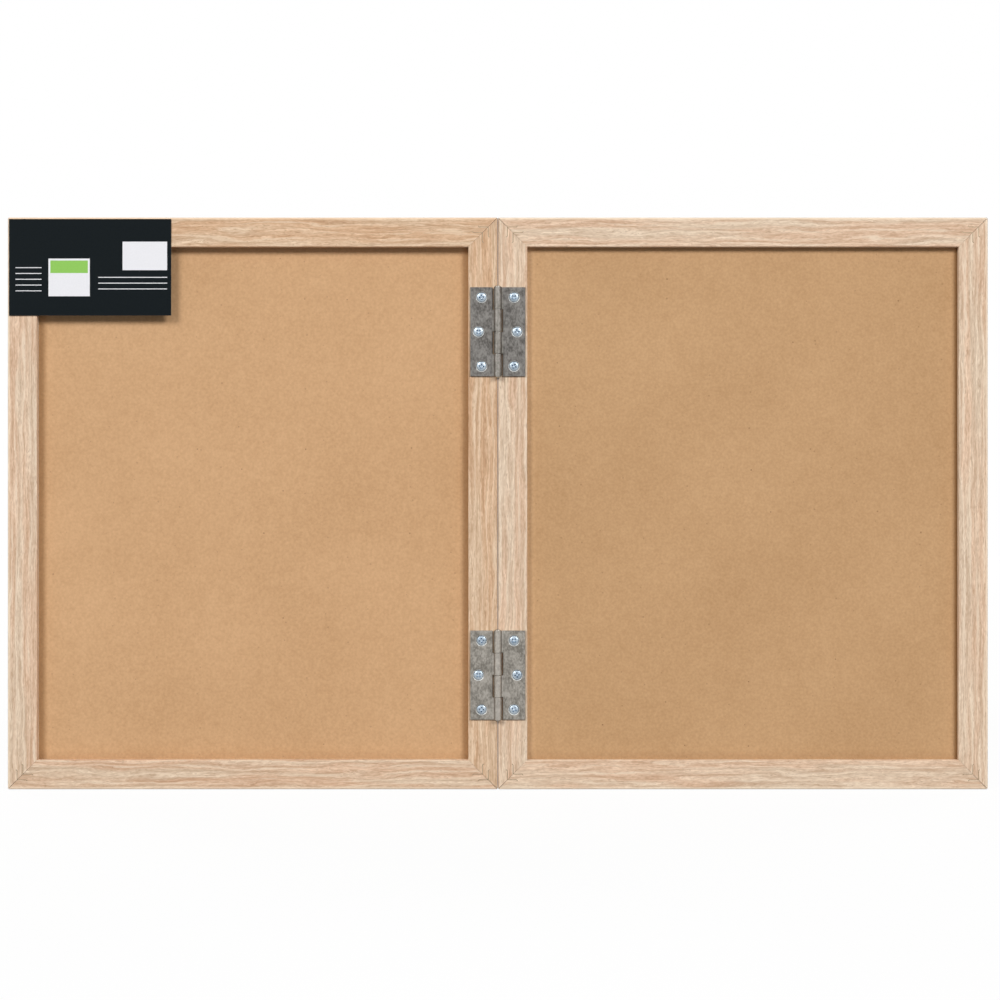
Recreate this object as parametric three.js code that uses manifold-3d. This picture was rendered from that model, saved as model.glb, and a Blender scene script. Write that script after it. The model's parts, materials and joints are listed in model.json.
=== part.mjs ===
// Combination memo board: two mitred frames side by side, joined by two butt hinges on their backs.
// The left frame holds a dry-erase panel and the right frame a linen pin board. The boards fold back to back.
// Millimetres, +Z up. The backs face -Y, so the view along +Y shows the hinges, with +X to the right.
import * as THREE from "three";
import { mergeVertices } from "three/addons/utils/BufferGeometryUtils.js";
import Module from "manifold-3d";

const wasm = await Module();
wasm.setup();

// Boards
const boardWidth = 299.94;
const boardHeight = 350;
const seamGap = 0.12; // between the two boards when they lie flat in line

// Frame rails: one moulding, grooved along its inner edge to hold a panel
const railWidth = 18;
const railDepth = 16;
const frontLip = 3; // wood in front of the groove
const grooveDepth = 4;
const backArris = 0.8; // radius of the outer back edge
const openingArris = 0.5; // radius of the back edge round the recess
const frontArris = 1.2; // radius of both front edges
const cornerRadius = 1; // sanded outside corners of a frame
const mitreSetbackInside = 0.03; // how far a cut stops short of the true mitre, along the rail
const mitreSetbackOutside = 0.2; // the joints stand a little open at the outside

// Panel layers, each listed from the front of its board
const layGap = 0.1; // between neighbouring layers, and at the groove's walls
const panelEdgeGap = 0.5; // between a panel's edge and the bottom of the groove
const dryEraseThickness = 0.6;
const stiffenerThickness = 3;
const clothThickness = 0.8;
const softboardThickness = 4.4;
const backingThickness = 3;

// V-nails, two across each mitre, driven in from the back
const nailLeg = 6.2; // from the bend to a leg's end
const nailLip = 0.7; // flared end of a leg
const nailThickness = 0.4;
const nailHeight = 9;
const nailSink = 0.1; // below the back of the rail
const nailFit = 0.06; // clearance round the nail
const nailPlaceShares = [0.415, 0.665]; // of the solid wood outside the groove, from the outer edge

// Butt hinges
const hingeHeight = 54.5;
const hingeInset = 70; // from the end of the board to the middle of the hinge
const leafMargin = 1.2; // rail left showing beside the leaf
const leafThickness = 1;
const leafSeat = 0.1; // between the leaf and the rail
const barrelRadius = 2.4;
const knuckleCount = 4; // shared in turn by the two leaves
const knuckleGap = 0.3; // between neighbouring knuckles
const notchGap = 0.8; // between a leaf and the other leaf's knuckle
const curlSlit = 0.2; // between the end of a curl and its own leaf
const pinFit = 0.1; // radial clearance of the pin
const pinHeadHeight = 0.8;
const pinHeadOverlap = 0.5; // peened head beyond the pin's own radius
const pinHeadGap = 0.15;

// Hinge screws, countersunk with a cross recess
const screwRadius = 1.6;
const screwHeadRadius = 2.95;
const screwLength = 12;
const screwPoint = 3.5; // length of the tapered end
const screwCrown = 0.4; // height of the domed head
const screwRim = 0.2; // straight edge of the head
const screwFit = 0.15; // clearance round the screw
const sinkRadius = 3.4; // mouth of the countersink in the leaf
const recessDepth = 1.4;
const recessSlot = 0.85; // width of each slot of the cross
const recessReach = 1.85; // from the screw's axis to the end of a slot
const recessTaper = 1.1; // how much shorter a slot is at its bottom
const screwRiseShare = 0.387; // outer screws above and below the hinge's middle, of its height
const outerScrewShare = 0.59; // outer screws from the hinge's axis, of the leaf's width
const middleScrewShare = 0.7;
const screwTurn = 0.65; // radians between the recesses of neighbouring screws

// Label card, stuck across one corner of the left back
const labelWidth = 99.2;
const labelHeight = 59.1;
const labelThickness = 0.5;
const labelMargin = 1; // from the board's outer edges
const labelGap = 0.15;

const overrun = 1; // how far a cutter passes the face that it cuts
const roundSteps = 24; // facets of a full circle
const arrisSteps = 2;

// Worked out from the sizes above
const overallWidth = 2 * boardWidth + seamGap;
const webWidth = railWidth - grooveDepth; // solid wood outside the groove
const leafWidth = railWidth + seamGap / 2 - leafMargin;
const barrelProud = leafSeat + 2 * barrelRadius;
const pinRadius = barrelRadius - leafThickness - pinFit;
const knucklePitch = hingeHeight / knuckleCount;
const backY = (barrelProud - railDepth) / 2; // centres the depth on the origin
const grooveFront = railDepth - frontLip;
const headRimTop = sinkRadius - screwHeadRadius - screwFit - screwRim; // below the leaf's face
const quarterTurn = Math.PI / 2;
const cornerTurn = new THREE.Matrix4().makeRotationY(quarterTurn);
const planToPlace = new THREE.Matrix4().makeBasis(
  new THREE.Vector3(0, 0, 1),
  new THREE.Vector3(1, 0, 0),
  new THREE.Vector3(0, 1, 0),
); // a plan drawn in (z, x) and raised along y

// Finishes
const finish = (color, roughness, metalness = 0) =>
  new THREE.MeshStandardMaterial({ color, roughness, metalness });
const oakFoil = finish(0xd7ba9c, 0.55);
const hardboardPale = finish(0xcda278, 0.8);
const hardboardDark = finish(0xc39b70, 0.8);
const greyboard = finish(0x9c968c, 0.9);
const softboard = finish(0xb08d64, 0.95);
const whiteEnamel = finish(0xf6f7f6, 0.12);
const linen = finish(0xcfc3ab, 0.95);
const hingeSteel = finish(0x76726c, 0.45, 0.9);
const brightZinc = finish(0xc9d6e2, 0.25, 1);
const nailSteel = finish(0x5d5a57, 0.5, 0.9);
const blackCard = finish(0x1c2022, 0.6);

// A closed geometry as a solid that can be cut, and back again
function solidOf(geometry, matrix = new THREE.Matrix4()) {
  const bare = geometry.clone().applyMatrix4(matrix);
  bare.deleteAttribute("normal");
  bare.deleteAttribute("uv");
  const merged = mergeVertices(bare);
  return new wasm.Manifold(
    new wasm.Mesh({
      numProp: 3,
      vertProperties: merged.attributes.position.array,
      triVerts: new Uint32Array(merged.index.array),
    }),
  );
}

function geometryOf(solid) {
  const { vertProperties, triVerts } = solid.getMesh();
  const geometry = new THREE.BufferGeometry();
  geometry.setAttribute("position", new THREE.BufferAttribute(vertProperties, 3));
  geometry.setIndex(new THREE.BufferAttribute(triVerts, 1));
  const faceted = geometry.toNonIndexed();
  faceted.computeVertexNormals();
  return faceted;
}

function named(name, geometry, material) {
  const mesh = new THREE.Mesh(geometry, material);
  mesh.name = name;
  return mesh;
}

const extrude = (shape, depth, curveSegments = arrisSteps) =>
  new THREE.ExtrudeGeometry(shape, { depth, curveSegments, bevelEnabled: false });

const moved = (x, y, z) => new THREE.Matrix4().makeTranslation(x, y, z);

// The outline of a strip that follows a path, mitred at each bend
function strip(path, half, longer = 0) {
  const last = path.length - 1;
  const along = path.slice(1).map((p, i) => p.clone().sub(path[i]).normalize());
  const edge = (side) =>
    path.map((p, i) => {
      const before = along[Math.max(i - 1, 0)];
      const after = along[Math.min(i, last - 1)];
      const across = new THREE.Vector2(-before.y - after.y, before.x + after.x);
      const reach = (side * half) / (1 + before.dot(after));
      const point = p.clone().addScaledVector(across, reach);
      if (i === 0) point.addScaledVector(after, -longer);
      if (i === last) point.addScaledVector(before, longer);
      return point;
    });
  return new THREE.Shape([...edge(-1), ...edge(1).reverse()]);
}

// The rail's section: x runs from the outer edge inwards, y from the back to the front
function railSection(grooveBack) {
  const section = new THREE.Shape();
  section.moveTo(backArris, 0);
  section.lineTo(railWidth - openingArris, 0);
  section.absarc(railWidth - openingArris, openingArris, openingArris, -quarterTurn, 0);
  section.lineTo(railWidth, grooveBack);
  section.lineTo(webWidth, grooveBack);
  section.lineTo(webWidth, grooveFront);
  section.lineTo(railWidth, grooveFront);
  section.lineTo(railWidth, railDepth - frontArris);
  section.absarc(railWidth - frontArris, railDepth - frontArris, frontArris, 0, quarterTurn);
  section.lineTo(frontArris, railDepth);
  section.absarc(frontArris, railDepth - frontArris, frontArris, quarterTurn, Math.PI);
  section.lineTo(0, backArris);
  section.absarc(backArris, backArris, backArris, Math.PI, Math.PI + quarterTurn);
  return section;
}

// A V-nail in the frame of its corner, where the two rails run along x and z and the mitre is x = z
function vNail(share, grow = 0) {
  const bend = share * webWidth;
  const end = bend + nailLeg;
  const path = [
    [bend - nailLip, end],
    [bend, end - nailLip],
    [bend, bend],
    [end - nailLip, bend],
    [end, bend - nailLip],
  ].map(([x, z]) => new THREE.Vector2(z, x));
  const outline = strip(path, nailThickness / 2 + grow, grow);
  const height = nailHeight + grow + (grow > 0 ? nailSink + overrun : 0);
  const start = grow > 0 ? -overrun : nailSink;
  return extrude(outline, height).applyMatrix4(planToPlace).applyMatrix4(moved(0, start, 0));
}

// A hinge screw, turned about y: the origin is on the leaf's outer face and +y runs into the rail
function screwBlank(grow = 0) {
  const outline = new THREE.Path();
  outline.moveTo(0, headRimTop - screwCrown);
  outline.quadraticCurveTo(
    screwHeadRadius / 2,
    headRimTop - screwCrown,
    screwHeadRadius + grow,
    headRimTop,
  );
  outline.lineTo(screwHeadRadius + grow, headRimTop + screwRim);
  outline.lineTo(screwRadius + grow, headRimTop + screwRim + screwHeadRadius - screwRadius);
  outline.lineTo(screwRadius + grow, screwLength - screwPoint);
  outline.lineTo(0, screwLength + grow);
  return new THREE.LatheGeometry(outline.getPoints(arrisSteps), roundSteps);
}

// One slot of the cross recess, along x
function recessArm() {
  const end = recessReach - recessTaper;
  const bottom = headRimTop + recessDepth;
  const top = headRimTop - screwCrown - overrun;
  const arm = new THREE.Shape(
    [
      [-recessReach, top],
      [recessReach, top],
      [recessReach, headRimTop],
      [end, bottom],
      [-end, bottom],
      [-recessReach, headRimTop],
    ].map(([x, y]) => new THREE.Vector2(x, y)),
  );
  return extrude(arm, recessSlot).translate(0, 0, -recessSlot / 2);
}

function screwGeometry() {
  const slot = solidOf(recessArm());
  const crossSlot = solidOf(recessArm(), new THREE.Matrix4().makeRotationY(quarterTurn));
  return geometryOf(solidOf(screwBlank()).subtract(slot.add(crossSlot)));
}

// The countersunk hole in a leaf, in the screw's own frame
function countersink() {
  const throat = screwRadius + screwFit;
  const outline = [
    [0, -overrun],
    [sinkRadius + overrun, -overrun],
    [throat, sinkRadius - throat],
    [throat, Math.max(leafThickness, sinkRadius - throat) + overrun],
    [0, Math.max(leafThickness, sinkRadius - throat) + overrun],
  ].map(([r, y]) => new THREE.Vector2(r, y));
  return new THREE.LatheGeometry(outline, roundSteps);
}

// Where the three screws of a leaf go: x from the hinge's axis, z from its middle
const screwRise = screwRiseShare * hingeHeight;
const screwPlaces = [
  [outerScrewShare * leafWidth, screwRise],
  [middleScrewShare * leafWidth, 0],
  [outerScrewShare * leafWidth, -screwRise],
];

// A plate one strip wide and hingeHeight high, whose edge rolls round the pin. x runs from the
// hinge's axis to the leaf's outer edge, y towards the board, z up. It keeps every other knuckle.
function leafGeometry() {
  const middle = barrelRadius - leafThickness / 2;
  const from = quarterTurn;
  const slitSide = barrelRadius - leafThickness - curlSlit;
  const to = 2 * Math.PI + Math.asin(slitSide / barrelRadius);
  const path = [new THREE.Vector2(leafWidth, middle)];
  for (let i = 0; i <= roundSteps; i++) {
    const angle = from + ((to - from) * i) / roundSteps;
    path.push(new THREE.Vector2(Math.cos(angle), Math.sin(angle)).multiplyScalar(middle));
  }
  const rolled = extrude(strip(path, leafThickness / 2), hingeHeight);
  let leaf = solidOf(rolled, moved(0, 0, -hingeHeight / 2));

  const notchFrom = -barrelRadius - overrun;
  const notchTo = barrelRadius + notchGap;
  for (let i = 1; i < knuckleCount; i += 2) {
    const top = hingeHeight / 2 - i * knucklePitch + knuckleGap / 2;
    const isLast = i === knuckleCount - 1;
    const height = knucklePitch + (isLast ? overrun : knuckleGap / 2) + knuckleGap / 2;
    const notch = new THREE.BoxGeometry(notchTo - notchFrom, 2 * (barrelRadius + overrun), height);
    leaf = leaf.subtract(solidOf(notch, moved((notchFrom + notchTo) / 2, 0, top - height / 2)));
  }
  for (const [x, z] of screwPlaces) {
    leaf = leaf.subtract(solidOf(countersink(), moved(x, barrelRadius - leafThickness, z)));
  }
  return geometryOf(leaf);
}

// The pin, held by a peened head at each end
function pinGeometry() {
  const headRadius = pinRadius + pinHeadOverlap;
  const shoulder = hingeHeight / 2 + pinHeadGap;
  const end = shoulder + pinHeadHeight;
  const outline = new THREE.Path();
  outline.moveTo(0, -end);
  outline.quadraticCurveTo(headRadius, -end, headRadius, -shoulder);
  outline.lineTo(pinRadius, -shoulder);
  outline.lineTo(pinRadius, shoulder);
  outline.lineTo(headRadius, shoulder);
  outline.quadraticCurveTo(headRadius, end, 0, end);
  return new THREE.LatheGeometry(outline.getPoints(2 * arrisSteps), roundSteps).rotateX(quarterTurn);
}

// A rail standing on its start corner: x runs inwards, y to the front, z along the rail
function railGeometry(length, grooveBack, drilled) {
  const blank = extrude(railSection(grooveBack), length);
  const place = blank.getAttribute("position");
  for (let i = 0; i < place.count; i++) {
    const x = place.getX(i);
    const openness = (mitreSetbackOutside - mitreSetbackInside) * (1 - x / railWidth);
    const cut = x + mitreSetbackInside + openness;
    place.setZ(i, place.getZ(i) === 0 ? cut : length - cut);
  }

  // The far corner has the same frame as the start corner, a quarter turn on
  const corners = [new THREE.Matrix4(), moved(0, 0, length).multiply(cornerTurn)];
  let rail = solidOf(blank).intersect(solidOf(cornerRounding(length)));
  for (const corner of corners) {
    for (const share of nailPlaceShares) {
      rail = rail.subtract(solidOf(vNail(share, nailFit), corner));
    }
  }
  if (drilled) {
    for (const middle of [hingeInset, length - hingeInset]) {
      for (const [x, z] of screwPlaces) {
        const hole = moved(x - seamGap / 2, -leafSeat - leafThickness, middle + z);
        rail = rail.subtract(solidOf(screwBlank(screwFit), hole));
      }
    }
  }
  return geometryOf(rail);
}

// A tall block with the plan of the rail's outer edge, rounded at the two corners of the frame
function cornerRounding(length) {
  const plan = new THREE.Shape();
  plan.moveTo(cornerRadius, 0);
  plan.lineTo(length - cornerRadius, 0);
  plan.absarc(length - cornerRadius, cornerRadius, cornerRadius, -quarterTurn, 0);
  plan.lineTo(length, railWidth + overrun);
  plan.lineTo(0, railWidth + overrun);
  plan.lineTo(0, cornerRadius);
  plan.absarc(cornerRadius, cornerRadius, cornerRadius, Math.PI, Math.PI + quarterTurn);
  const height = railDepth + 2 * overrun;
  return extrude(plan, height, 2 * arrisSteps)
    .applyMatrix4(planToPlace)
    .applyMatrix4(moved(0, -overrun, 0));
}

// One board: four rails round the groove, two V-nails in each corner, and the layers of its panel
function board({ side, x, rails, corners, layers }) {
  const group = new THREE.Group();
  group.position.set(x, backY, 0);
  const packDepth = layers.reduce((sum, layer) => sum + layer.thickness + layGap, layGap);
  const grooveBack = grooveFront - packDepth;

  const starts = [
    [0, 0, boardHeight],
    [0, boardHeight, boardWidth],
    [boardWidth, boardHeight, boardHeight],
    [boardWidth, 0, boardWidth],
  ];
  starts.forEach(([startX, startZ, length], turn) => {
    const corner = new THREE.Group();
    corner.position.set(startX, 0, startZ);
    corner.rotation.y = turn * quarterTurn;
    const drilled = rails[turn] === "hinge";
    const rail = railGeometry(length, grooveBack, drilled);
    corner.add(named(`${side}_${rails[turn]}_rail`, rail, oakFoil));
    nailPlaceShares.forEach((share, i) => {
      const name = `${side}_${corners[turn]}_v_nail_${i + 1}`;
      corner.add(named(name, vNail(share), nailSteel));
    });
    group.add(corner);
  });

  const hidden = webWidth + panelEdgeGap; // from the board's edge to the panel's edge
  let front = grooveFront - layGap;
  for (const { name, thickness, material } of layers) {
    const sheet = new THREE.BoxGeometry(
      boardWidth - 2 * hidden,
      thickness,
      boardHeight - 2 * hidden,
    );
    const panel = named(name, sheet, material);
    panel.position.set(boardWidth / 2, front - thickness / 2, boardHeight / 2);
    group.add(panel);
    front -= thickness + layGap;
  }
  return group;
}

// One hinge: two like leaves, the left one turned over, their screws and the pin
function hinge(name, height, leaf, screw) {
  const group = new THREE.Group();
  group.position.set(0, backY - leafSeat - barrelRadius, height);
  group.add(named(`${name}_pin`, pinGeometry(), hingeSteel));
  [["right", 0], ["left", Math.PI]].forEach(([side, turn]) => {
    const half = new THREE.Group();
    half.rotation.y = turn;
    half.add(named(`${name}_${side}_leaf`, leaf, hingeSteel));
    screwPlaces.forEach(([x, z], i) => {
      const piece = named(`${name}_${side}_screw_${i + 1}`, screw, brightZinc);
      piece.position.set(x, barrelRadius - leafThickness, z);
      piece.rotation.y = i * screwTurn;
      half.add(piece);
    });
    group.add(half);
  });
  return group;
}

const memoBoard = new THREE.Group();
memoBoard.add(
  board({
    side: "left",
    x: -overallWidth / 2,
    rails: ["outer", "top", "hinge", "bottom"],
    corners: ["bottom_outer", "top_outer", "top_hinge", "bottom_hinge"],
    layers: [
      { name: "dry_erase_sheet", thickness: dryEraseThickness, material: whiteEnamel },
      { name: "dry_erase_stiffener", thickness: stiffenerThickness, material: greyboard },
      { name: "left_backing_board", thickness: backingThickness, material: hardboardPale },
    ],
  }),
  board({
    side: "right",
    x: seamGap / 2,
    rails: ["hinge", "top", "outer", "bottom"],
    corners: ["bottom_hinge", "top_hinge", "top_outer", "bottom_outer"],
    layers: [
      { name: "linen_cloth", thickness: clothThickness, material: linen },
      { name: "pin_softboard", thickness: softboardThickness, material: softboard },
      { name: "right_backing_board", thickness: backingThickness, material: hardboardDark },
    ],
  }),
);

const leaf = leafGeometry();
const screw = screwGeometry();
memoBoard.add(
  hinge("upper_hinge", boardHeight - hingeInset, leaf, screw),
  hinge("lower_hinge", hingeInset, leaf, screw),
);

const card = new THREE.BoxGeometry(labelWidth, labelThickness, labelHeight);
const label = named("label_card", card, blackCard);
label.position.set(
  labelMargin + (labelWidth - overallWidth) / 2,
  backY - labelGap - labelThickness / 2,
  boardHeight - labelMargin - labelHeight / 2,
);
memoBoard.add(label);

export default memoBoard;
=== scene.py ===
# %% [markdown]
# # A folding memo board, seen from behind
#
# Two picture-frame boards stand side by side and fold back to back on two small butt hinges. The
# camera looks at their backs: mitred oak-effect mouldings, a brown fibreboard panel sunk into
# each, the hinges with their screws, and a black card stuck across one corner. The fronts carry a
# dry-erase sheet and a stretched linen cloth.
#
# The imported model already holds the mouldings, panels and hinges at their real size. This lesson
# keeps those pieces, gives every one its finish, and models again the few that need a softer or
# finer surface than flat facets give: the hinge leaves, pins, screws, card and cloth.

# %% Load the fixed frame
import json
import math
from contextlib import contextmanager

import bmesh
import bpy
from mathutils import Matrix, Vector

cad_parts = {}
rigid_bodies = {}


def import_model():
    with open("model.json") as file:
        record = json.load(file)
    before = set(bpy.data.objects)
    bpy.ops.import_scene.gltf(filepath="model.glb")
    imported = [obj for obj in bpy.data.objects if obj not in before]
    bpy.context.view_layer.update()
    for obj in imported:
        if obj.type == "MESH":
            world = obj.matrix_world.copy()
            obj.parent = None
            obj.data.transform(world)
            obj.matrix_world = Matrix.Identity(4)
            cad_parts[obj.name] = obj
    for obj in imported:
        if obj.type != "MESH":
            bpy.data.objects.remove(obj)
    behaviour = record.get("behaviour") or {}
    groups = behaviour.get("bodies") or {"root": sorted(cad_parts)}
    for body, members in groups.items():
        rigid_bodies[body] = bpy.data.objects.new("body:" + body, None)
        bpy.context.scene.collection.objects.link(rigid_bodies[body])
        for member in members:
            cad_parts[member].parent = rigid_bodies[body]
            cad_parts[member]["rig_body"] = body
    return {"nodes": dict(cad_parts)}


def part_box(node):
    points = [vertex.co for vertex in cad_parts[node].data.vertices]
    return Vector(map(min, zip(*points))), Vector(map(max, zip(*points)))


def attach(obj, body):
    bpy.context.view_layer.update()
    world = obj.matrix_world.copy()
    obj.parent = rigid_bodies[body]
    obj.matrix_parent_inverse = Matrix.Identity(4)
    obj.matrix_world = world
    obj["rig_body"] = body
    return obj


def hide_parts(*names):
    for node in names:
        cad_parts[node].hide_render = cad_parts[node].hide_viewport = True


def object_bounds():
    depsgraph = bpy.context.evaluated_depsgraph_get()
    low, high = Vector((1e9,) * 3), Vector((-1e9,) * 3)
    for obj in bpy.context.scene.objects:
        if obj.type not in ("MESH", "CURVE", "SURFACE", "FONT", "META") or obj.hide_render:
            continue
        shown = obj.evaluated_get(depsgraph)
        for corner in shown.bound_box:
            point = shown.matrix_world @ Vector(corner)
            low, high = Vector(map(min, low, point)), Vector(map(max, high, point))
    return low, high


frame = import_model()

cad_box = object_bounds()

nodes = frame["nodes"]

# %% [markdown]
# ## Units and colours
#
# Blender's unit here is the metre, but a frame maker thinks in millimetres, so every size below
# is written as a number of millimetres times MM. Colours are written as they look on a screen, in
# hex. A shader wants them as amounts of light, so one function turns the first into the second.

# %% Units and colours
MM = 0.001


def light_of(hex_colour, steps=0, shares=(1, 1, 1)):
    """A screen colour such as D7BA9C as linear light, moved by some steps of 255 in each part."""
    levels = [int(hex_colour[2 * i : 2 * i + 2], 16) + steps * shares[i] for i in range(3)]
    screen = [min(255, max(0, level)) / 255 for level in levels]
    return (*(s / 12.92 if s <= 0.04045 else ((s + 0.055) / 1.055) ** 2.4 for s in screen), 1.0)


WHITE = "FFFFFF"
print("middle grey is", [round(s, 3) for s in light_of("808080")[:3]])

# %% [markdown]
# ## The camera
#
# The picture was taken square on, so the backs are not skewed and both boards measure the same.
# One pixel is 0.612 mm of the boards' back faces. A long lens from 1.5 m away gives the same flat
# look, and the lens length follows from that distance and from the width that the picture has to
# span.

# %% The camera, square to the backs
PIXEL = 0.612 * MM
PICTURE_PIXELS = 1000
OBJECT_CENTRE_PIXEL = (497.8, 503.4)
CAMERA_AWAY = 1500 * MM

rail_low, rail_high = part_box("left_top_rail")
board_top = rail_high.z
back_face = rail_low.y

camera = bpy.data.objects.new("camera", bpy.data.cameras.new("camera"))
bpy.context.scene.collection.objects.link(camera)
bpy.context.scene.camera = camera
camera.data.lens = camera.data.sensor_width * CAMERA_AWAY / (PICTURE_PIXELS * PIXEL)
camera.location = (
    (PICTURE_PIXELS / 2 - OBJECT_CENTRE_PIXEL[0]) * PIXEL,
    back_face - CAMERA_AWAY,
    board_top / 2 + (OBJECT_CENTRE_PIXEL[1] - PICTURE_PIXELS / 2) * PIXEL,
)
camera.rotation_euler = (math.pi / 2, 0, 0)
print("lens", round(camera.data.lens, 1), "mm")

# %% [markdown]
# ## A small helper for shader nodes
#
# A procedural finish is a handful of nodes wired together. One helper adds a node with its
# settings, its numbers and its wires, so that each finish below reads as a short list. Sockets
# are given by name, or by number where two sockets share a name. A wire starts at the socket
# given, or at a node's first output where it is given the node.

# %% Adding a node
def add(tree, kind, numbers=None, wires=None, stops=None, **settings):
    """One node, with its settings, the numbers in its sockets, its wires and its colour stops."""
    node = tree.nodes.new("ShaderNode" + kind)
    for name, value in settings.items():
        setattr(node, name, value)
    for socket, value in (numbers or {}).items():
        node.inputs[socket].default_value = value
    for socket, source in (wires or {}).items():
        tree.links.new(getattr(source, "outputs", [source])[0], node.inputs[socket])
    for i, (place, colour) in enumerate(stops or []):
        ramp = node.color_ramp.elements
        stop = ramp[i] if i < len(ramp) else ramp.new(place)
        stop.position = place
        stop.color = colour
    return node


# %% [markdown]
# ## White studio
#
# The boards are shown on plain white, lit by two soft boxes high on either side of the camera.
# Those throw the short dark shadow under each top rail and the fainter ones along the sides. A
# second pair behind keeps the fronts as well lit when the boards are turned round. It hangs
# lower, because all four boxes light the top edges together.
#
# The white does not come from more light. The world is white only for rays from the camera and
# for reflections, and dim for the light that reaches a dull surface.

# %% The world
AMBIENT = 0.155

world = bpy.data.worlds.new("white_studio")
bpy.context.scene.world = world
world.use_nodes = True
world.node_tree.nodes.clear()


def seen_directly(tree):
    """One for a ray from the camera, a reflection or a clear piece, and nought for any other."""
    path = add(tree, "LightPath").outputs
    either = add(tree, "Math", wires={0: path["Is Camera Ray"], 1: path["Is Glossy Ray"]},
                 operation="MAXIMUM")
    return add(tree, "Math", wires={0: either, 1: path["Is Transmission Ray"]},
               operation="MAXIMUM")


strength = add(world.node_tree, "Math", {1: 1 - AMBIENT, 2: AMBIENT},
               {0: seen_directly(world.node_tree)}, operation="MULTIPLY_ADD")
sky = add(world.node_tree, "Background", {"Color": light_of(WHITE)},
          {"Strength": strength})
add(world.node_tree, "OutputWorld", wires={"Surface": sky})
print("white to the camera,", AMBIENT, "to dull surfaces")

# %% The soft boxes
BOX_SIDE = 3400 * MM
BOX_AWAY = 8000 * MM
BOX_ASIDE = 5500 * MM
FRONT_ABOVE = 5300 * MM
REAR_ABOVE = 2500 * MM
FRONT_SHARE = 0.4
REAR_SHARE = 0.4
middle = Vector((0, 0, board_top / 2))


def soft_box(name, place, share):
    """A square lamp aimed at the boards, which gives them this share of the plain light level."""
    lamp = bpy.data.lights.new(name, "AREA")
    lamp.size = BOX_SIDE
    way = middle - Vector(place)
    facing = abs(way.y) / way.length
    lamp.energy = share * math.pi**2 * way.length_squared / facing
    holder = bpy.data.objects.new(name, lamp)
    bpy.context.scene.collection.objects.link(holder)
    holder.location = place
    holder.rotation_euler = way.to_track_quat("-Z", "Y").to_euler()
    holder.visible_camera = False
    return round(lamp.energy, 1)


for name, side, above, share in (("photo_side", -1, FRONT_ABOVE, FRONT_SHARE),
                                 ("board_front", 1, REAR_ABOVE, REAR_SHARE)):
    for hand, aside in (("left", -1), ("right", 1)):
        place = (aside * BOX_ASIDE, side * BOX_AWAY, middle.z + above)
        print(name, hand, soft_box(f"{name}_{hand}_box", place, share), "W")

# %% The floor
FLOOR_HALF = 6.0
FLOOR_GREY = "8C8C8C"
FLOOR_WHITE_SHARE = 0.94

bpy.ops.mesh.primitive_plane_add(size=2 * FLOOR_HALF, location=(0, 0, 0))
floor = bpy.context.object
floor.name = "floor"

paper = bpy.data.materials.new("pale_paper_floor")
paper.use_nodes = True
paper.node_tree.nodes.clear()
tree = paper.node_tree
seen = seen_directly(tree)
tint = add(tree, "Mix", {6: light_of(FLOOR_GREY), 7: light_of(WHITE)}, {0: seen},
           data_type="RGBA")
dull = add(tree, "BsdfDiffuse", wires={"Color": tint.outputs[2]})
glow = add(tree, "Emission", {"Color": light_of(WHITE), "Strength": 1.0})
share = add(tree, "Math", {1: FLOOR_WHITE_SHARE}, {0: seen}, operation="MULTIPLY")
both = add(tree, "MixShader", wires={0: share, 1: dull, 2: glow})
add(tree, "OutputMaterial", wires={"Surface": both})
floor.data.materials.append(paper)
print("floor", round(2 * FLOOR_HALF), "m across")

# %% [markdown]
# ## Starting a finish
#
# Every finish below starts alike: a new material with one Principled shader, and the place on the
# object in metres to hang the pattern on. Object coordinates are right for boards and metal,
# because a printed or rolled pattern keeps its size wherever the piece is.
#
# Patterns are made of noise. Noise has blotches about one unit across, so a place divided by a
# real length gives blotches of that length. Divided by a short length across and a long one
# along, the blotches turn into grain. Nearly all of a noise lies between 0.3 and 0.7 of its
# range.

# %% A blank finish and the size of its pattern
NOISE_LOW, NOISE_HIGH = 0.3, 0.7


def blank_finish(name, **numbers):
    """A material with a Principled shader, whose sockets take the numbers given."""
    material = bpy.data.materials.new(name)
    material.use_nodes = True
    tree = material.node_tree
    shader = tree.nodes["Principled BSDF"]
    for socket, value in numbers.items():
        shader.inputs[socket.replace("_", " ")].default_value = value
    place = add(tree, "TexCoord").outputs["Object"]
    return material, tree, shader, place


def blotches(tree, place, size, detail=2.0, shift=(0, 0, 0)):
    """Noise whose blotches measure size along X, Y and Z. Its result runs from nought to one."""
    fitted = add(tree, "Mapping",
                 {"Location": shift, "Scale": [1 / length for length in size]}, {"Vector": place})
    return add(tree, "TexNoise", {"Scale": 1.0, "Detail": detail}, {"Vector": fitted})


def two_toned(tree, shader, noise, dark, bright, ends=(NOISE_LOW, NOISE_HIGH)):
    """Colours the surface from dark to bright, as the noise rises from one end to the other."""
    ramp = add(tree, "ValToRGB", wires={0: noise}, stops=[(ends[0], dark), (ends[1], bright)])
    tree.links.new(ramp.outputs[0], shader.inputs["Base Color"])


def raised(tree, shader, height, depth, strength=1.0):
    """Lets a pattern stand this far out of the surface, as relief for the light to catch."""
    bump = add(tree, "Bump", {"Strength": strength, "Distance": depth}, {"Height": height})
    tree.links.new(bump.outputs[0], shader.inputs["Normal"])


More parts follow.
